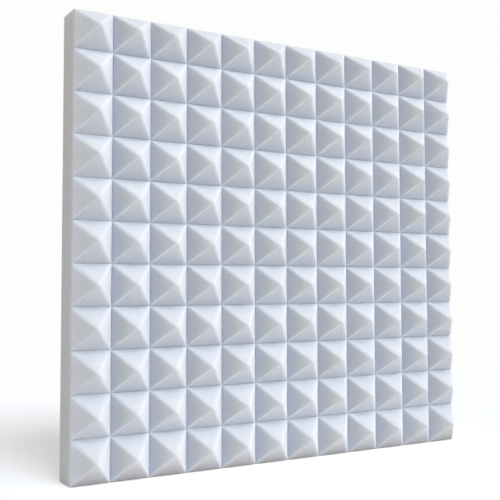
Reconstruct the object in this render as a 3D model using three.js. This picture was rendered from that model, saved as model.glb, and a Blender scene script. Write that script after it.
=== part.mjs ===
// An acoustic foam panel: one block of open-cell foam whose front is a field of four-sided pyramids,
// with a film of adhesive over its back and a release liner on the film, slit down its middle.
// Millimetres, +Z up. The panel stands on its bottom edge at z = 0 with its pyramids towards -Y.
// The origin is under the middle of the whole panel.

import * as THREE from "three";
import { mergeVertices } from "three/addons/utils/BufferGeometryUtils.js";

// Foam block
const panelWidth = 610;
const panelHeight = 574;
const slabThickness = 38.1; // the solid foam behind the valleys

// Pyramid field
const columns = 12;
const rows = 11;
const pyramidHeight = 25.4; // from the valleys to the rounded tips
const topRowTrim = 4; // the top row is cut this much narrower than the others
const rightColumnTrim = 3; // and the right column this much
const bottomRowExtra = 3; // the bottom row is cut this much wider
const ridgeRound = 3; // radius of a ridge in a level cut through the pyramid
const tipRound = 4.5; // from the middle of a tip to where its flat faces start
const cornerSteps = 2; // flat strips that make up a rounded ridge

// Self-adhesive back
const backInset = 2; // foam left bare round the film
const filmThickness = 0.2;
const linerThickness = 0.15;
const linerSlit = 0.5;

const columnPitch = (panelWidth + rightColumnTrim) / columns;
const rowPitch = (panelHeight + topRowTrim - bottomRowExtra) / rows;

// The planes of the panel, from the tips of the pyramids at its front to the liner at its back
const wholeDepth = pyramidHeight + slabThickness + filmThickness + linerThickness;
const tipY = -wholeDepth / 2;
const valleyY = tipY + pyramidHeight;
const foamBackY = valleyY + slabThickness;
const filmBackY = foamBackY + filmThickness;

const foamMaterial = () => new THREE.MeshStandardMaterial({
  name: "foam", color: 0xd9dce3, roughness: 0.96, metalness: 0, flatShading: true,
});
const filmMaterial = () => new THREE.MeshStandardMaterial({
  name: "adhesive", color: 0xd8cfb4, roughness: 0.35, metalness: 0,
});
const linerMaterial = () => new THREE.MeshStandardMaterial({
  name: "liner", color: 0xe9e4d6, roughness: 0.55, metalness: 0,
});

// A closed surface, gathered face by face. Corners run anticlockwise, seen from outside.
function surface() {
  const corners = [];
  return {
    // A flat or gently bent patch with its corners in order, as a fan from its first corner
    patch(...points) {
      for (let i = 2; i < points.length; i += 1) corners.push(points[0], points[i - 1], points[i]);
    },
    geometry() {
      const loose = new THREE.BufferGeometry().setFromPoints(corners);
      return mergeVertices(loose);
    },
  };
}

// A point over the valley plane: x to the right, z up, and how far out of the plane towards the front
const over = (x, z, out) => new THREE.Vector3(x, valleyY - out, z);

// Where the field's pitch puts a column's left side and a row's bottom side
const columnX = (i) => i * columnPitch - panelWidth / 2;
const rowZ = (j) => bottomRowExtra + j * rowPitch;

// The valley lines of the field. The outer ones lie on the panel's edges.
const valleysX = Array.from({ length: columns + 1 }, (_, i) => Math.min(columnX(i), panelWidth / 2));
const valleysZ = Array.from({ length: rows + 1 }, (_, j) => (j ? Math.min(rowZ(j), panelHeight) : 0));

// One cell of the field. Its tip keeps the field's pitch, also where the cell is narrower or wider.
const cellAt = (i, j) => ({
  left: valleysX[i],
  right: valleysX[i + 1],
  bottom: valleysZ[j],
  top: valleysZ[j + 1],
  tipX: columnX(i) + columnPitch / 2,
  tipZ: rowZ(j) + rowPitch / 2,
});

// The share of the way from a valley to the tip at which the flat faces end and the tip's dome starts
const faceEndShare = 1 - tipRound / (Math.min(columnPitch, rowPitch) / 2);

// How far out a level cut lies: flat faces, then a parabola that is level at the tip
function outAt(share) {
  const sharpHeight = pyramidHeight * 2 / (1 + faceEndShare);
  if (share <= faceEndShare) return sharpHeight * share;
  const domeShare = (share - faceEndShare) / (1 - faceEndShare);
  return sharpHeight * (faceEndShare + (1 - faceEndShare) * (domeShare - domeShare ** 2 / 2));
}

// A level cut through a pyramid: the cell drawn in towards the tip by a share, its four corners
// rounded. It gives one list of points for each corner, anticlockwise from the lower left one.
function levelCut(cell, share) {
  const draw = (side, tip) => side + (tip - side) * share;
  const left = draw(cell.left, cell.tipX);
  const right = draw(cell.right, cell.tipX);
  const bottom = draw(cell.bottom, cell.tipZ);
  const top = draw(cell.top, cell.tipZ);
  const radius = Math.min(ridgeRound, (right - left) / 2, (top - bottom) / 2);
  const centres = [
    [left + radius, bottom + radius],
    [right - radius, bottom + radius],
    [right - radius, top - radius],
    [left + radius, top - radius],
  ];
  return centres.map(([x, z], corner) => {
    const points = [];
    for (let step = 0; step <= cornerSteps; step += 1) {
      const angle = (corner + 2 + step / cornerSteps) * Math.PI / 2;
      points.push(over(x + radius * Math.cos(angle), z + radius * Math.sin(angle), outAt(share)));
    }
    return points;
  });
}

// One pyramid: valley corners, the foot of the ridges, the end of the flat faces, the dome and the tip
function addPyramid(skin, cell) {
  const valley = [
    over(cell.left, cell.bottom, 0),
    over(cell.right, cell.bottom, 0),
    over(cell.right, cell.top, 0),
    over(cell.left, cell.top, 0),
  ];
  const ridgeFootShare = ridgeRound / (Math.max(columnPitch, rowPitch) / 2);
  const foot = levelCut(cell, ridgeFootShare);
  valley.forEach((point, corner) => {
    const next = (corner + 1) % valley.length;
    skin.patch(point, valley[next], foot[next][0], foot[corner].at(-1));
    skin.patch(point, ...foot[corner].slice().reverse());
  });
  const domeShares = [ridgeFootShare, faceEndShare, (1 + faceEndShare) / 2];
  const cuts = domeShares.map((share) => levelCut(cell, share).flat());
  for (let level = 1; level < cuts.length; level += 1) {
    const [below, above] = [cuts[level - 1], cuts[level]];
    below.forEach((point, i) => {
      const next = (i + 1) % below.length;
      skin.patch(point, below[next], above[next], above[i]);
    });
  }
  const last = cuts.at(-1);
  const tip = over(cell.tipX, cell.tipZ, pyramidHeight);
  last.forEach((point, i) => skin.patch(tip, point, last[(i + 1) % last.length]));
}

// A flat side of the block, from the valley line along its front edge to the block's back edge
function addSide(skin, frontEdge) {
  const back = (point) => new THREE.Vector3(point.x, foamBackY, point.z);
  const first = back(frontEdge[0]);
  skin.patch(first, ...frontEdge);
  skin.patch(first, frontEdge.at(-1), back(frontEdge.at(-1)));
}

// The foam block, cut in one piece: pyramids, four sides and the back
function makeFoamPanel() {
  const skin = surface();
  for (let i = 0; i < columns; i += 1) {
    for (let j = 0; j < rows; j += 1) addPyramid(skin, cellAt(i, j));
  }
  const left = valleysX[0];
  const right = valleysX.at(-1);
  const top = valleysZ.at(-1);
  addSide(skin, valleysX.map((x) => over(x, 0, 0)).reverse());
  addSide(skin, valleysX.map((x) => over(x, top, 0)));
  addSide(skin, valleysZ.map((z) => over(left, z, 0)));
  addSide(skin, valleysZ.map((z) => over(right, z, 0)).reverse());
  const backCorners = [[left, 0], [left, top], [right, top], [right, 0]];
  skin.patch(...backCorners.map(([x, z]) => new THREE.Vector3(x, foamBackY, z)));
  const mesh = new THREE.Mesh(skin.geometry(), foamMaterial());
  mesh.name = "foam_panel";
  return mesh;
}

// A thin sheet on the back of the panel, between two places across it and from frontY to the back
function makeSheet(name, fromX, toX, frontY, thickness, material) {
  const height = panelHeight - 2 * backInset;
  const outline = new THREE.Shape([
    new THREE.Vector2(fromX, backInset),
    new THREE.Vector2(toX, backInset),
    new THREE.Vector2(toX, backInset + height),
    new THREE.Vector2(fromX, backInset + height),
  ]);
  const geometry = new THREE.ExtrudeGeometry(outline, { depth: thickness, bevelEnabled: false });
  geometry.rotateX(Math.PI / 2);
  const mesh = new THREE.Mesh(geometry, material);
  mesh.position.y = frontY + thickness;
  mesh.name = name;
  return mesh;
}

function makeAdhesiveBack() {
  const edge = panelWidth / 2 - backInset;
  const slitEdge = linerSlit / 2;
  const back = new THREE.Group();
  back.add(
    makeSheet("adhesive_film", -edge, edge, foamBackY, filmThickness, filmMaterial()),
    makeSheet("release_liner_left", -edge, -slitEdge, filmBackY, linerThickness, linerMaterial()),
    makeSheet("release_liner_right", slitEdge, edge, filmBackY, linerThickness, linerMaterial()),
  );
  return back;
}

const panel = new THREE.Group();
panel.add(makeFoamPanel(), makeAdhesiveBack());

export default panel;
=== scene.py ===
import math

import bpy
import numpy as np
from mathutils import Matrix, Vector


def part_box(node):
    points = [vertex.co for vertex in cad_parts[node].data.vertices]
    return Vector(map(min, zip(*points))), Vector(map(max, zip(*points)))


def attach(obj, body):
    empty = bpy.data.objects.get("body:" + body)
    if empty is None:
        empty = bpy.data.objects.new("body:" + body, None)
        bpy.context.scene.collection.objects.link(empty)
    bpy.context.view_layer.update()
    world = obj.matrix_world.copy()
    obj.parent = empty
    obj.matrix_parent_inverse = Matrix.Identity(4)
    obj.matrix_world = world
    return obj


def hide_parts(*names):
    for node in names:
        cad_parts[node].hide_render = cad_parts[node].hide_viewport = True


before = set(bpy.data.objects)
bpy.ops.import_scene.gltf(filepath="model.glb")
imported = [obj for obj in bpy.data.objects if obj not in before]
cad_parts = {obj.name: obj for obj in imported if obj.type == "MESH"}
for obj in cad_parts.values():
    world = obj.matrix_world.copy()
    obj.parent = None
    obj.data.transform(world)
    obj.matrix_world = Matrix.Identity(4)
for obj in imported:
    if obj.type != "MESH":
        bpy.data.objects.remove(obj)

# A pale acoustic foam panel, standing on a white floor. The foam is one closed mesh that stands for the
# CAD's block, and each half of the release liner is a thin sheet with low waves. The film of adhesive
# under the liner is the CAD's own, with a better material. Nothing moves.
#
# Lengths are in metres. Places on a pyramid are shares of the way from its valley to its tip.
# The panel's outer sizes come from the frame.

# The foam's shape
COLUMNS = 12
ROWS = 11
PYRAMID_HEIGHT = 0.0254  # from the valleys to the CAD's rounded tips
PEAK_HEIGHT = 0.0280  # from the valleys to where the four faces would meet
TOP_ROW_TRIM = 0.004  # the top row is cut this much narrower than the others
RIGHT_COLUMN_TRIM = 0.003  # and the right column this much
BOTTOM_ROW_EXTRA = 0.003  # the bottom row is cut this much wider
RIDGE_ROUND = 0.0002  # how widely two faces run into each other at a ridge
EDGE_ROUND = 0.0014  # the outer edges of the block
EDGE_SHARES = np.array([0.3, 0.65, 1.0])  # where the mesh has lines on a round edge
SIDE_LINES = 7  # the mesh's lines across a side, with the two at its round edges
SAMPLES_PER_RISE = 12  # quads from a valley to a tip
CROWDING = 0.3  # how much closer the quads lie at valleys and tips
SHARP_ANGLE = 40  # degrees, for the shading of edges

# What the cut leaves uneven
TIP_WANDER = 0.0004  # how far a tip stands from its place
TIP_SEED = 7
WANDER = 0.00010  # how far the cut surface wanders from its true planes
WANDER_SIZES = (0.013, 0.006)  # of its coarse and its fine bumps
WANDER_SEEDS = (3, 4)
FINE_WANDER = 0.5  # how strong the fine ones are beside the coarse ones
CALM_HEIGHT = 0.003  # below this the wandering fades towards the valley
NOISE_LATTICE = 32
NEARLY_NOTHING = 1e-9  # keeps a length from being zero

# The foam's colours. Most of them paint shade or light into the foam
FOAM_COLOUR = (0.80, 0.818, 0.845, 1)
GREY_SHADE_COLOUR = (0.58, 0.58, 0.585, 1)  # painted shade that some faces are toned down with
VALLEY_SHADE_COLOUR = (0.58, 0.625, 0.70, 1)  # painted shade towards the valleys
UPPER_SHADE_COLOUR = (0.56, 0.655, 0.755, 1)  # painted shade towards the valleys on the faces that look up
OUTER_LIT_COLOUR = (0.85, 0.852, 0.865, 1)  # painted light: the block's sides, and the lower faces of the bottom row, paler and less blue than the faces with pyramids beside them
RIDGE_HIGHLIGHT_COLOUR = (0.86, 0.87, 0.885, 1)  # painted highlight along the ridge between the left and the lower face

# How much of a painted shade colour the left, right, lower and upper faces take
FACE_VALLEY_SHADE = (1.0, 0.1, 0.77, 0.0)  # of the valleys' painted shade, at the valley
FACE_UPPER_SHADE = (0.0, 0.0, 0.0, 0.72)  # of the upper faces' painted shade, at the valley
FACE_GREY_SHADE = (0.0, 0.0, 0.14, 0.08)  # of the grey painted shade, all over
LEFT_GREY_SHADE = 1.1  # of the grey painted shade on the left faces, less their place on the rise
VALLEY_SHARE = 0.6  # how far up a pyramid the valleys' painted shade reaches
OPEN_GREY_SHADE = 0.2  # of the grey painted shade on the left faces at the panel's edge
OPEN_SHARE = 0.4  # from here up they have all of it
OPEN_LOWER = 0.4  # how much less of all painted shade the lower faces at that edge take
FACE_BLEND = 0.09  # how softly one face's colour runs into the next
RIDGE_BLEND = 0.02  # and how soft the painted highlight along a ridge is
RIDGE_START = 0.4  # how strong that highlight is at the valleys
RIDGE_GAIN = 1.5  # and how fast it grows with the rise
FOOT_SHARE = 0.9  # how far up the bottom row's lower faces take painted shade where the panel meets the floor
FOOT_SHADE = 0.58  # how dark that painted shade is at the foot

# The foam's texture. Tones are factors on the colour, at the lowest and the highest value.
FOAM_SCATTER = 0.010  # how far light travels inside the foam
FOAM_CELL = 0.0010  # between open cells
FOAM_CELL_REACH = (0.1, 0.8)  # from the middle of a cell to its walls, as shares of that spacing
FOAM_CELL_TONES = (1.015, 0.975)
FOAM_PIT_SPACING = 0.009  # between torn cells
FOAM_PIT_REACH = (0.06, 0.11)  # from a pit's floor to its rim, as shares of their spacing
FOAM_PIT_TONES = (1.0, 0.86)
FOAM_MOTTLE = 0.012  # between soft light and dark patches
FOAM_MOTTLE_TONES = (0.985, 1.012)
FOAM_GRAIN = 0.0016  # between rough places
FOAM_GRAIN_TONES = (0.975, 1.02)
FOAM_ROUGHNESS = (0.93, 1.0)
FOAM_SHINE = 0.15
SAW_MARK = 0.05
SAW_FACTORS = (3.0, 60.0, 3.0)  # so the streaks on the sides are 17 mm long and 0.8 mm apart
SAW_TONES = (-0.02, 0.02)  # added to the other tones
FOAM_BUMP = 0.00025
CELL_RELIEF = 0.25  # shares of that bump
CELL_RELIEF_REACH = (0.0, 0.7)
GRAIN_RELIEF = 0.35
PIT_RELIEF = 0.5
MOTTLE_RELIEF = 0.6
NOISE_REACH = (0.3, 0.7)  # where nearly all of a noise's values lie

# The film of adhesive
FILM_COLOUR = (0.70, 0.63, 0.44, 1)
FILM_BUBBLE = 0.004  # between bubbles
FILM_BUBBLE_REACH = (0.15, 0.35)  # from a bubble's middle to its rim, as shares of that spacing
FILM_BUBBLE_TONE = 0.08  # how much lighter a bubble is
FILM_THIN_PLACE = 0.02  # between thin places
FILM_TONES = (0.93, 1.05)
FILM_ROUGHNESS = (0.22, 0.42)
FILM_BUMP = 0.00006

# The release liner
LINER_COLOUR = (0.80, 0.78, 0.72, 1)
LINER_STAIN_COLOUR = (0.76, 0.73, 0.65, 1)
LINER_STAIN = 0.06  # between stains
LINER_STAIN_REACH = (0.35, 0.75)
LINER_FIBRE = 0.0007  # between fibres
LINER_FIBRE_FACTORS = (1.0, 1.0, 0.35)  # the fibres run up the panel
LINER_FIBRE_TONES = (0.97, 1.02)
LINER_FIBRE_RELIEF = 0.4
LINER_ROUGHNESS = (0.38, 0.55)
LINER_EMBOSS = 0.005  # from one embossed line to the next
LINER_EMBOSS_TONE = 0.02  # how much lighter that line is
LINER_EMBOSS_SHARPNESS = 12.0
LINER_BUMP = 0.00006
LINER_THICKNESS = 0.00015
LINER_WAVE = 0.00035  # how far the paper stands off the film
LINER_WAVE_SIZE = 0.11
LINER_LIFT = 0.0009  # how far the slit's edges curl up
LINER_LIFT_SIZE = 0.09  # how fast that changes along the slit
LINER_CURL = 0.03  # how far in from the slit the paper is lifted
LINER_COLUMNS = 60
LINER_ROWS = 110
LINER_SEED = 20

# The camera that was fitted to the photo
CAMERA_PLACE = (-0.62964, -0.97493, 0.23430)
CAMERA_TURN = (93.269, 0.141, -30.578)  # degrees
CAMERA_SENSOR = 36  # millimetres, as is the lens
CAMERA_LENS = 60.269
CAMERA_SHIFT = -0.02

# The light and the floor
LAMPS = {
    # name: (direction from the panel, how wide the light is in degrees, strength, colour)
    "key": ((0.03, -0.60, 0.74), 30, 1.60, (0.82, 0.89, 1.00)),
    "front": ((0.80, -0.80, 0.10), 60, 2.25, (1.00, 0.95, 0.93)),
    "left": ((-1.00, -0.30, 0.20), 60, 0.54, (1.00, 0.88, 0.70)),
    "back": ((0.15, 1.00, 0.04), 12, 1.40, (1.00, 1.00, 1.00)),
}
WORLD = 0.12  # the even light from all round
FLOOR_COLOUR = (0.88, 0.88, 0.88, 1)  # for the light it throws back
FLOOR_SEEN_COLOUR = (1.0, 1.0, 1.0, 1)
FLOOR_LIFT = 0.355  # what the picture's floor is lifted by
FLOOR_NEAR = 0.6  # the floor starts to run into the backdrop this far out
FLOOR_FAR = 1.6  # and is one with it from here on
FLOOR_SIZE = 8.0  # from its middle to its edges
FLOOR_GAP = 0.0002  # between the floor and the panel's bottom edge
BACKDROP_COLOUR = (0.985, 0.985, 0.985, 1)

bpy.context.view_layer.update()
foam_low, foam_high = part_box("foam_panel")
foam_width = foam_high.x - foam_low.x
foam_height = foam_high.z - foam_low.z
valley_y = foam_low.y + PYRAMID_HEIGHT
column_pitch = (foam_width + RIGHT_COLUMN_TRIM) / COLUMNS
row_pitch = (foam_height + TOP_ROW_TRIM - BOTTOM_ROW_EXTRA) / ROWS

# The field keeps its pitch, and its outer valleys lie on the panel's edges
columns_x = foam_low.x + column_pitch * np.arange(COLUMNS + 1)
rows_z = foam_low.z + BOTTOM_ROW_EXTRA + row_pitch * np.arange(ROWS + 1)
tips_x = columns_x[:-1] + column_pitch / 2
tips_z = rows_z[:-1] + row_pitch / 2
valleys_x = np.concatenate([columns_x[:-1], [foam_high.x]])
valleys_z = np.concatenate([[foam_low.z], rows_z[1:-1], [foam_high.z]])


def smooth_noise(points, size, seed):
    """Soft random values between -1 and 1 at 3-D points, with bumps of about the given size"""
    rng = np.random.default_rng(seed)
    lattice = rng.uniform(-1, 1, (NOISE_LATTICE,) * 3)
    place = points / size
    base = np.floor(place).astype(int)
    part = place - base
    part = part * part * (3 - 2 * part)
    total = np.zeros(len(points))
    for corner in np.ndindex(2, 2, 2):
        weight = np.prod(np.where(corner, part, 1 - part), axis=1)
        at = (base + corner) % NOISE_LATTICE
        total += weight * lattice[at[:, 0], at[:, 1], at[:, 2]]
    return total


def field_places(valleys, tips):
    """Places of the grid's lines across the field: each valley and tip, with closer lines beside them,
    and more lines where the panel's two edges are round"""
    part = np.arange(SAMPLES_PER_RISE) / SAMPLES_PER_RISE
    rise = part - CROWDING * np.sin(2 * math.pi * part) / (2 * math.pi)
    stations = np.sort(np.concatenate([valleys, tips]))
    lines = [start + (end - start) * rise for start, end in zip(stations, stations[1:])]
    beside = EDGE_ROUND * EDGE_SHARES
    lines += [valleys[:1] + beside, valleys[-1:] - beside, valleys[-1:]]
    return np.sort(np.concatenate(lines))


def face_weights(shares, blend):
    """How much each place belongs to the left, right, lower and upper face of its pyramid"""
    weights = np.exp((shares.min(0) - shares) / blend)
    return weights / weights.sum(0)


def pyramid_shares(x, z, i, j, shift_x, shift_z):
    """How far up the left, right, lower and upper face of pyramid i, j each place lies"""
    tip_x = tips_x[i] + TIP_WANDER * shift_x[i, j]
    tip_z = tips_z[j] + TIP_WANDER * shift_z[i, j]
    return np.stack([
        (x - valleys_x[i]) / (tip_x - valleys_x[i]),
        (valleys_x[i + 1] - x) / (valleys_x[i + 1] - tip_x),
        (z - valleys_z[j]) / (tip_z - valleys_z[j]),
        (valleys_z[j + 1] - z) / (valleys_z[j + 1] - tip_z),
    ])


def pyramid_marks(shares, i, j):
    """Where the foam takes which colour, from 0 to 1. Most of these colours are painted shade and light on
    the pyramids' faces. Beyond the panel's left and top edge no pyramid stands opposite, so the faces
    there take none of the valleys' painted shade"""
    first = shares.min(0)
    sharp = face_weights(shares, RIDGE_BLEND)
    soft = face_weights(shares, FACE_BLEND)
    # Painted shade, deepest at the valleys
    low = np.clip(1 - first / VALLEY_SHARE, 0, 1)
    open_left = sharp[0] * (i == 0)
    closed = 1 - open_left - sharp[3] * (j == ROWS - 1) - OPEN_LOWER * sharp[2] * (i == 0)
    # Painted shade: the left faces grow greyer the lower they lie on the rise, and the lower and upper
    # faces a little all over
    grey_shade = soft[0] * np.clip(LEFT_GREY_SHADE - first, 0, 1) + FACE_GREY_SHADE @ soft
    # Painted light: the bottom row's lower faces, like the sides, take a paler, less blue colour
    outer = sharp[2] * (j == 0)
    # A painted highlight along the ridge between the left and the lower face
    # On the ridge both weights are a half, so four times their product is 1
    ridge = 4 * sharp[0] * sharp[2]
    return {
        "ridge": ridge * np.clip(RIDGE_START + RIDGE_GAIN * first, 0, 1),
        "valley_shade": FACE_VALLEY_SHADE @ soft * low * closed,
        "upper_shade": FACE_UPPER_SHADE @ soft * low * closed,
        "grey_shade": grey_shade * closed + OPEN_GREY_SHADE * open_left * np.clip(first / OPEN_SHARE, 0, 1),
        "outer": outer,
        "foot": outer * np.clip(1 - first / FOOT_SHARE, 0, 1),
        "side": np.zeros(len(first)),
    }


def pyramid_field(x, z):
    """How far the foam stands out of the valley plane, which is the lowest of four sloping planes with
    soft joins, and its marks"""
    rng = np.random.default_rng(TIP_SEED)
    shift_x, shift_z, drop = rng.uniform(-1, 1, (3, COLUMNS, ROWS))
    i = np.clip(np.searchsorted(valleys_x, x, side="right") - 1, 0, COLUMNS - 1)
    j = np.clip(np.searchsorted(valleys_z, z, side="right") - 1, 0, ROWS - 1)
    shares = pyramid_shares(x, z, i, j, shift_x, shift_z)
    softness = RIDGE_ROUND / (column_pitch / 2)
    lowest = -softness * np.log(np.exp(-shares / softness).sum(0))
    height = PEAK_HEIGHT - TIP_WANDER * (1 + drop[i, j]) / 2
    return height * np.maximum(lowest, 0), pyramid_marks(shares, i, j)


def rounded(points, low, high, radius):
    """Points on a sharp-edged box, moved onto the same box with round edges"""
    inner = np.clip(points, low + radius, high - radius)
    away = points - inner
    length = np.maximum(np.linalg.norm(away, axis=1, keepdims=True), NEARLY_NOTHING)
    return inner + away / length * radius


def rim_of(index):
    """The places round the edge of a grid, anticlockwise seen from the front"""
    return np.concatenate([index[0, :-1], index[:-1, -1], index[-1, :0:-1], index[:0:-1, 0]])


def front_faces(xs, zs, index):
    """The front's quads. A quad is split from its first to its third corner, so the ridges run there"""
    middles_x = (xs[:-1] + xs[1:]) / 2
    middles_z = (zs[:-1] + zs[1:]) / 2
    right = middles_x > tips_x[np.searchsorted(valleys_x, middles_x) - 1]
    upper = middles_z > tips_z[np.searchsorted(valleys_z, middles_z) - 1]
    faces = []
    for row in range(len(middles_z)):
        for column in range(len(middles_x)):
            quad = [index[row, column], index[row, column + 1],
                    index[row + 1, column + 1], index[row + 1, column]]
            if right[column] != upper[row]:
                quad = quad[1:] + quad[:1]
            faces.append(quad)
    return faces


def side_faces(rim, first, rings):
    """The sides' quads, ring by ring from the front's rim to the back, and the back. The rings' points
    follow one another from the first one on"""
    faces = []
    last = rim
    for ring in range(rings):
        new = first + ring * len(rim) + np.arange(len(rim))
        faces += np.stack([last, new, np.roll(new, -1), np.roll(last, -1)], 1).tolist()
        last = new
    faces.append(last[::-1].tolist())
    return faces


def surface_wander(points):
    """Coarse and fine bumps of the cut surface, from about -1.5 to 1.5"""
    coarse, fine = [smooth_noise(points, size, seed) for size, seed in zip(WANDER_SIZES, WANDER_SEEDS)]
    return coarse + FINE_WANDER * fine


def foam_mesh():
    """The whole block as one closed mesh: the pyramid field, four sides and the back"""
    xs = field_places(valleys_x, tips_x)
    zs = field_places(valleys_z, tips_z)
    grid_x, grid_z = np.meshgrid(xs, zs)
    front = np.stack([grid_x.ravel(), np.full(grid_x.size, valley_y), grid_z.ravel()], 1)
    index = np.arange(grid_x.size).reshape(grid_x.shape)
    rim = rim_of(index)

    depth = foam_high.y - valley_y
    steps = EDGE_ROUND * EDGE_SHARES
    inner = np.linspace(EDGE_ROUND, depth - EDGE_ROUND, SIDE_LINES)[1:-1]
    depths = np.concatenate([steps, inner, depth - steps[::-1], [depth]])
    rings = [front[rim] + (0, d, 0) for d in depths]
    sharp = np.concatenate([front, *rings])
    low = np.array([foam_low.x, valley_y, foam_low.z])
    points = rounded(sharp, low, np.array(foam_high), EDGE_ROUND)

    out, marks = pyramid_field(front[:, 0], front[:, 2])
    wander = WANDER * surface_wander(front) * np.minimum(out / CALM_HEIGHT, 1)
    points[:len(front), 1] -= out + wander
    on_rings = {"outer": 1.0, "side": 1.0}
    for name, values in marks.items():
        ringed = np.full(len(sharp) - len(front), on_rings.get(name, 0.0))
        marks[name] = np.concatenate([values, ringed])
    faces = front_faces(xs, zs, index) + side_faces(rim, len(front), len(depths))
    return points, faces, marks


def new_piece(name, points, faces, material):
    mesh = bpy.data.meshes.new(name)
    mesh.from_pydata([tuple(p) for p in points], [], faces)
    mesh.validate()
    mesh.materials.append(material)
    mesh.shade_smooth()
    mesh.set_sharp_from_angle(angle=math.radians(SHARP_ANGLE))
    piece = bpy.data.objects.new(name, mesh)
    bpy.context.scene.collection.objects.link(piece)
    return piece


def new_material(name):
    material = bpy.data.materials.new(name)
    material.use_nodes = True
    tree = material.node_tree
    shader = tree.nodes["Principled BSDF"]
    return material, tree, shader


class Nodes:
    """Short names for the nodes of one material"""

    def __init__(self, tree):
        self.tree = tree

    def add(self, kind, **settings):
        node = self.tree.nodes.new(kind)
        for name, value in settings.items():
            setattr(node, name, value)
        return node

    def put(self, value, socket):
        """Links an output to an input, or sets the input to a plain value"""
        if isinstance(value, bpy.types.NodeSocket):
            self.tree.links.new(value, socket)
        else:
            socket.default_value = value

    def math(self, operation, a, b=0.0, clamp=False):
        node = self.add("ShaderNodeMath", operation=operation, use_clamp=clamp)
        self.put(a, node.inputs[0])
        self.put(b, node.inputs[1])
        return node.outputs[0]

    def spread(self, value, low, high, to_low=0.0, to_high=1.0):
        """The value from low to high, brought to another range and held inside it"""
        node = self.add("ShaderNodeMapRange")
        self.put(value, node.inputs["Value"])
        node.inputs["From Min"].default_value = low
        node.inputs["From Max"].default_value = high
        node.inputs["To Min"].default_value = to_low
        node.inputs["To Max"].default_value = to_high
        return node.outputs["Result"]

    def place(self, factors=(1, 1, 1)):
        """Places on the object in metres, times a factor along each axis"""
        node = self.add("ShaderNodeVectorMath", operation="MULTIPLY")
        self.tree.links.new(self.add("ShaderNodeTexCoord").outputs["Object"], node.inputs[0])
        node.inputs[1].default_value = factors
        return node.outputs[0]

    def noise(self, place, size, detail=2.0, rough=0.5):
        """Noise around 0.5 with bumps of about the given size in metres"""
        node = self.add("ShaderNodeTexNoise")
        self.put(place, node.inputs["Vector"])
        node.inputs["Scale"].default_value = 1 / size
        node.inputs["Detail"].default_value = detail
        node.inputs["Roughness"].default_value = rough
        return node.outputs["Fac"]

    def cells(self, place, size):
        """How far each place is from the middle of its cell, as a share of the cells' spacing"""
        node = self.add("ShaderNodeTexVoronoi")
        self.put(place, node.inputs["Vector"])
        node.inputs["Scale"].default_value = 1 / size
        return node.outputs["Distance"]

    def stripes(self, place, spacing, sharpness):
        """Lines across the diagonal of x and z, from 0 to 1. More sharpness makes them thinner"""
        parts = self.add("ShaderNodeSeparateXYZ")
        self.put(place, parts.inputs[0])
        along = self.math("ADD", parts.outputs["X"], parts.outputs["Z"])
        turns = self.math("MULTIPLY", along, math.pi / spacing)
        return self.math("POWER", self.math("ABSOLUTE", self.math("SINE", turns)), sharpness)

    def attribute(self, name):
        return self.add("ShaderNodeAttribute", attribute_name=name).outputs["Fac"]

    def mix(self, share, first, second):
        node = self.add("ShaderNodeMix", data_type="RGBA")
        self.put(share, node.inputs["Factor"])
        colours = [socket for socket in node.inputs if socket.type == "RGBA"]
        self.put(first, colours[0])
        self.put(second, colours[1])
        return next(socket for socket in node.outputs if socket.type == "RGBA")

    def mix_shaders(self, share, first, second):
        node = self.add("ShaderNodeMixShader")
        self.put(share, node.inputs[0])
        self.put(first, node.inputs[1])
        self.put(second, node.inputs[2])
        return node.outputs[0]

    def shade(self, colour, brightness):
        """A colour times a brightness"""
        node = self.add("ShaderNodeVectorMath", operation="SCALE")
        self.put(colour, node.inputs[0])
        self.put(brightness, node.inputs["Scale"])
        return node.outputs[0]

    def bump(self, height, depth):
        """A normal bent by a height from 0 to 1, which stands for the given depth in metres"""
        node = self.add("ShaderNodeBump")
        node.inputs["Strength"].default_value = 1.0
        node.inputs["Distance"].default_value = depth
        self.put(height, node.inputs["Height"])
        return node.outputs["Normal"]


def foam_tones(nodes, cells, pit, mottle, grain):
    """How bright the foam is: fine cells, torn ones, mottling, saw marks on its sides and painted shade at
    its foot
    """
    saw = nodes.noise(nodes.place(SAW_FACTORS), SAW_MARK)
    tones = nodes.spread(cells, *FOAM_CELL_REACH, *FOAM_CELL_TONES)
    tones = nodes.math("MULTIPLY", tones, nodes.spread(mottle, *NOISE_REACH, *FOAM_MOTTLE_TONES))
    tones = nodes.math("MULTIPLY", tones, nodes.spread(grain, *NOISE_REACH, *FOAM_GRAIN_TONES))
    tones = nodes.math("MULTIPLY", tones, nodes.spread(pit, 0.0, 1.0, *FOAM_PIT_TONES))
    streaks = nodes.spread(saw, *NOISE_REACH, *SAW_TONES)
    streaks = nodes.math("MULTIPLY", nodes.attribute("side"), streaks)
    tones = nodes.math("ADD", tones, streaks)
    # Painted shade on the bottom row's lower faces, darkest at the foot
    foot = nodes.spread(nodes.attribute("foot"), 0.0, 1.0, 1.0, FOOT_SHADE)
    return nodes.math("MULTIPLY", tones, foot)


def foam_relief(nodes, cells, pit, mottle, grain):
    """The height of the foam's surface, for its bump"""
    height = nodes.math("MULTIPLY", nodes.spread(cells, *CELL_RELIEF_REACH), CELL_RELIEF)
    height = nodes.math("ADD", height, nodes.math("MULTIPLY", grain, GRAIN_RELIEF))
    height = nodes.math("SUBTRACT", height, nodes.math("MULTIPLY", pit, PIT_RELIEF))
    return nodes.math("ADD", height, nodes.math("MULTIPLY", mottle, MOTTLE_RELIEF))


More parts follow.
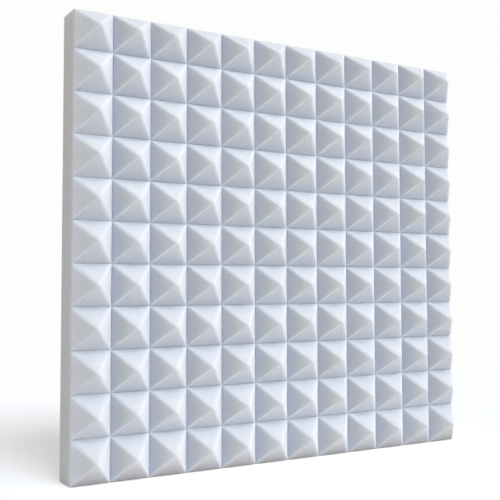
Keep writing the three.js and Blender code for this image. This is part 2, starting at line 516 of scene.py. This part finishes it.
def foam_material():
    """Pale open-cell foam that light travels into. Each mark lays its colour over those before it, and
    most marks are painted shade or light
    """
    material, tree, shader = new_material("foam")
    nodes = Nodes(tree)
    place = nodes.place()
    cells = nodes.cells(place, FOAM_CELL)
    torn = nodes.cells(place, FOAM_PIT_SPACING)
    pit = nodes.spread(torn, *FOAM_PIT_REACH, 1.0, 0.0)
    mottle = nodes.noise(place, FOAM_MOTTLE, detail=3.0)
    grain = nodes.noise(place, FOAM_GRAIN, rough=0.7)

    body = FOAM_COLOUR
    for mark, colour in (
        ("grey_shade", GREY_SHADE_COLOUR),
        ("valley_shade", VALLEY_SHADE_COLOUR),
        ("upper_shade", UPPER_SHADE_COLOUR),
        ("outer", OUTER_LIT_COLOUR),
        ("ridge", RIDGE_HIGHLIGHT_COLOUR),
    ):
        body = nodes.mix(nodes.attribute(mark), body, colour)
    tones = foam_tones(nodes, cells, pit, mottle, grain)
    nodes.put(nodes.shade(body, tones), shader.inputs["Base Color"])

    relief = foam_relief(nodes, cells, pit, mottle, grain)
    nodes.put(nodes.bump(relief, FOAM_BUMP), shader.inputs["Normal"])
    nodes.put(nodes.spread(grain, *NOISE_REACH, *FOAM_ROUGHNESS), shader.inputs["Roughness"])
    shader.inputs["Specular IOR Level"].default_value = FOAM_SHINE
    shader.inputs["Subsurface Weight"].default_value = 1.0
    shader.inputs["Subsurface Radius"].default_value = (1, 1, 1)
    shader.inputs["Subsurface Scale"].default_value = FOAM_SCATTER
    return material


def make_foam():
    points, faces, marks = foam_mesh()
    foam = new_piece("foam_block", points, faces, foam_material())
    for name, values in marks.items():
        mark = foam.data.attributes.new(name, "FLOAT", "POINT")
        mark.data.foreach_set("value", values)
    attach(foam, "root")
    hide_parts("foam_panel")


def film_material():
    """A thin layer of clear yellowish glue, with small bubbles and thin places"""
    material, tree, shader = new_material("adhesive")
    nodes = Nodes(tree)
    place = nodes.place()
    bubbles = nodes.spread(nodes.cells(place, FILM_BUBBLE), *FILM_BUBBLE_REACH, 1.0, 0.0)
    thin = nodes.noise(place, FILM_THIN_PLACE, detail=3.0)
    tones = nodes.spread(thin, *NOISE_REACH, *FILM_TONES)
    tones = nodes.math("ADD", tones, nodes.math("MULTIPLY", bubbles, FILM_BUBBLE_TONE))
    nodes.put(nodes.shade(FILM_COLOUR[:3], tones), shader.inputs["Base Color"])
    nodes.put(nodes.spread(thin, *NOISE_REACH, *FILM_ROUGHNESS), shader.inputs["Roughness"])
    nodes.put(nodes.bump(bubbles, FILM_BUMP), shader.inputs["Normal"])
    return material


def liner_material():
    """Siliconised paper: faint stains and fibres, and a diamond pattern of embossed lines"""
    material, tree, shader = new_material("liner")
    nodes = Nodes(tree)
    place = nodes.place()
    stain = nodes.spread(nodes.noise(place, LINER_STAIN, detail=3.0), *LINER_STAIN_REACH)
    fibre = nodes.noise(nodes.place(LINER_FIBRE_FACTORS), LINER_FIBRE, detail=3.0, rough=0.6)
    ways = [nodes.place((way, 1.0, 1.0)) for way in (1.0, -1.0)]
    lines = [nodes.stripes(way, LINER_EMBOSS, LINER_EMBOSS_SHARPNESS) for way in ways]
    emboss = nodes.math("MAXIMUM", *lines)
    tones = nodes.spread(fibre, *NOISE_REACH, *LINER_FIBRE_TONES)
    tones = nodes.math("ADD", tones, nodes.math("MULTIPLY", emboss, LINER_EMBOSS_TONE))
    colour = nodes.mix(stain, LINER_COLOUR, LINER_STAIN_COLOUR)
    nodes.put(nodes.shade(colour, tones), shader.inputs["Base Color"])
    height = nodes.math("ADD", emboss, nodes.math("MULTIPLY", fibre, LINER_FIBRE_RELIEF))
    nodes.put(nodes.bump(height, LINER_BUMP), shader.inputs["Normal"])
    nodes.put(nodes.spread(fibre, *NOISE_REACH, *LINER_ROUGHNESS), shader.inputs["Roughness"])
    return material


def liner_mesh(low, high, seed):
    """Half of the liner: a thin closed sheet with low waves, lifted a little along the slit at x = 0"""
    xs = np.linspace(low.x, high.x, LINER_COLUMNS)
    zs = np.linspace(low.z, high.z, LINER_ROWS)
    grid_x, grid_z = np.meshgrid(xs, zs)
    flat = np.stack([grid_x.ravel(), np.full(grid_x.size, low.y), grid_z.ravel()], 1)
    wave = LINER_WAVE * (1 + smooth_noise(flat, LINER_WAVE_SIZE, seed)) / 2
    from_slit = np.abs(flat[:, 0]) / LINER_CURL
    uneven = (1 + smooth_noise(flat * (0, 0, 1), LINER_LIFT_SIZE, seed + 1)) / 2
    lift = LINER_LIFT * np.clip(1 - from_slit, 0, 1) ** 2 * uneven
    inner = flat + np.outer(wave + lift, (0, 1, 0))
    outer = inner + (0, LINER_THICKNESS, 0)
    count = grid_x.size
    index = np.arange(count).reshape(grid_x.shape)
    quads = [index[:-1, :-1], index[:-1, 1:], index[1:, 1:], index[1:, :-1]]
    quads = np.stack(quads, -1).reshape(-1, 4)
    rim = rim_of(index)
    walls = np.stack([rim, rim + count, np.roll(rim, -1) + count, np.roll(rim, -1)], 1)
    faces = np.concatenate([quads, quads[:, ::-1] + count, walls])
    return np.concatenate([inner, outer]), faces.tolist()


def make_back():
    """The liner's two halves, and a better material for the film under them"""
    material = liner_material()
    for half, side in enumerate(("left", "right")):
        node = f"release_liner_{side}"
        points, faces = liner_mesh(*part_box(node), LINER_SEED + 2 * half)
        liner = new_piece(f"liner_{side}", points, faces, material)
        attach(liner, "root")
        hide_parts(node)
    bpy.data.objects["adhesive_film"].material_slots[0].material = film_material()


def make_camera():
    data = bpy.data.cameras.new("camera")
    camera = bpy.data.objects.new("camera", data)
    bpy.context.scene.collection.objects.link(camera)
    camera.location = CAMERA_PLACE
    camera.rotation_euler = [math.radians(angle) for angle in CAMERA_TURN]
    data.sensor_width = CAMERA_SENSOR
    data.lens = CAMERA_LENS
    data.shift_y = CAMERA_SHIFT
    bpy.context.scene.camera = camera


def seen_rays(nodes):
    """1 for the rays that show a surface in the picture, directly or through a reflection"""
    path = nodes.add("ShaderNodeLightPath").outputs
    seen = nodes.math("ADD", path["Is Camera Ray"], path["Is Glossy Ray"], clamp=True)
    return nodes.math("ADD", seen, path["Is Transmission Ray"], clamp=True)


def floor_material():
    """A pale matt floor. In the picture it is whiter and runs into the backdrop with distance"""
    material, tree, shader = new_material("floor")
    nodes = Nodes(tree)
    shader.inputs["Roughness"].default_value = 1.0
    shader.inputs["Specular IOR Level"].default_value = 0.0
    seen = seen_rays(nodes)
    nodes.put(nodes.mix(seen, FLOOR_COLOUR, FLOOR_SEEN_COLOUR), shader.inputs["Base Color"])
    lift = nodes.add("ShaderNodeEmission")
    nodes.put(nodes.math("MULTIPLY", seen, FLOOR_LIFT), lift.inputs["Strength"])
    lifted = nodes.add("ShaderNodeAddShader")
    nodes.put(shader.outputs[0], lifted.inputs[0])
    nodes.put(lift.outputs[0], lifted.inputs[1])
    distance = nodes.add("ShaderNodeVectorMath", operation="LENGTH")
    nodes.put(nodes.place(), distance.inputs[0])
    far = nodes.spread(distance.outputs["Value"], FLOOR_NEAR, FLOOR_FAR)
    white = nodes.add("ShaderNodeEmission")
    white.inputs["Color"].default_value = BACKDROP_COLOUR
    share = nodes.math("MULTIPLY", seen, far)
    surface = nodes.mix_shaders(share, lifted.outputs[0], white.outputs[0])
    nodes.put(surface, tree.nodes["Material Output"].inputs["Surface"])
    return material


def make_floor():
    ways = ((-1, -1), (1, -1), (1, 1), (-1, 1))
    corners = [(x * FLOOR_SIZE, y * FLOOR_SIZE, 0) for x, y in ways]
    mesh = bpy.data.meshes.new("floor")
    mesh.from_pydata(corners, [], [(0, 1, 2, 3)])
    mesh.materials.append(floor_material())
    floor = bpy.data.objects.new("floor", mesh)
    floor.location.z = -FLOOR_GAP
    bpy.context.scene.collection.objects.link(floor)


def make_lamps():
    """Suns, each turned so that its light comes from its direction"""
    for name, (direction, width, strength, colour) in LAMPS.items():
        data = bpy.data.lights.new(name, "SUN")
        data.angle = math.radians(width)
        data.energy = strength
        data.color = colour
        lamp = bpy.data.objects.new(name, data)
        away = Vector(direction)
        lamp.location = away
        lamp.rotation_euler = away.to_track_quat("Z", "Y").to_euler()
        bpy.context.scene.collection.objects.link(lamp)


def make_world():
    """A dim even light on the panel, and a white backdrop in the picture"""
    world = bpy.data.worlds.new("world")
    bpy.context.scene.world = world
    world.use_nodes = True
    tree = world.node_tree
    nodes = Nodes(tree)
    light = tree.nodes["Background"]
    light.inputs["Strength"].default_value = WORLD
    light.inputs["Color"].default_value = (1, 1, 1, 1)
    backdrop = nodes.add("ShaderNodeBackground")
    backdrop.inputs["Color"].default_value = BACKDROP_COLOUR
    surface = nodes.mix_shaders(seen_rays(nodes), light.outputs[0], backdrop.outputs[0])
    nodes.put(surface, tree.nodes["World Output"].inputs["Surface"])


bpy.context.scene.view_settings.view_transform = "Standard"
make_foam()
make_back()
make_camera()
make_floor()
make_lamps()
make_world()
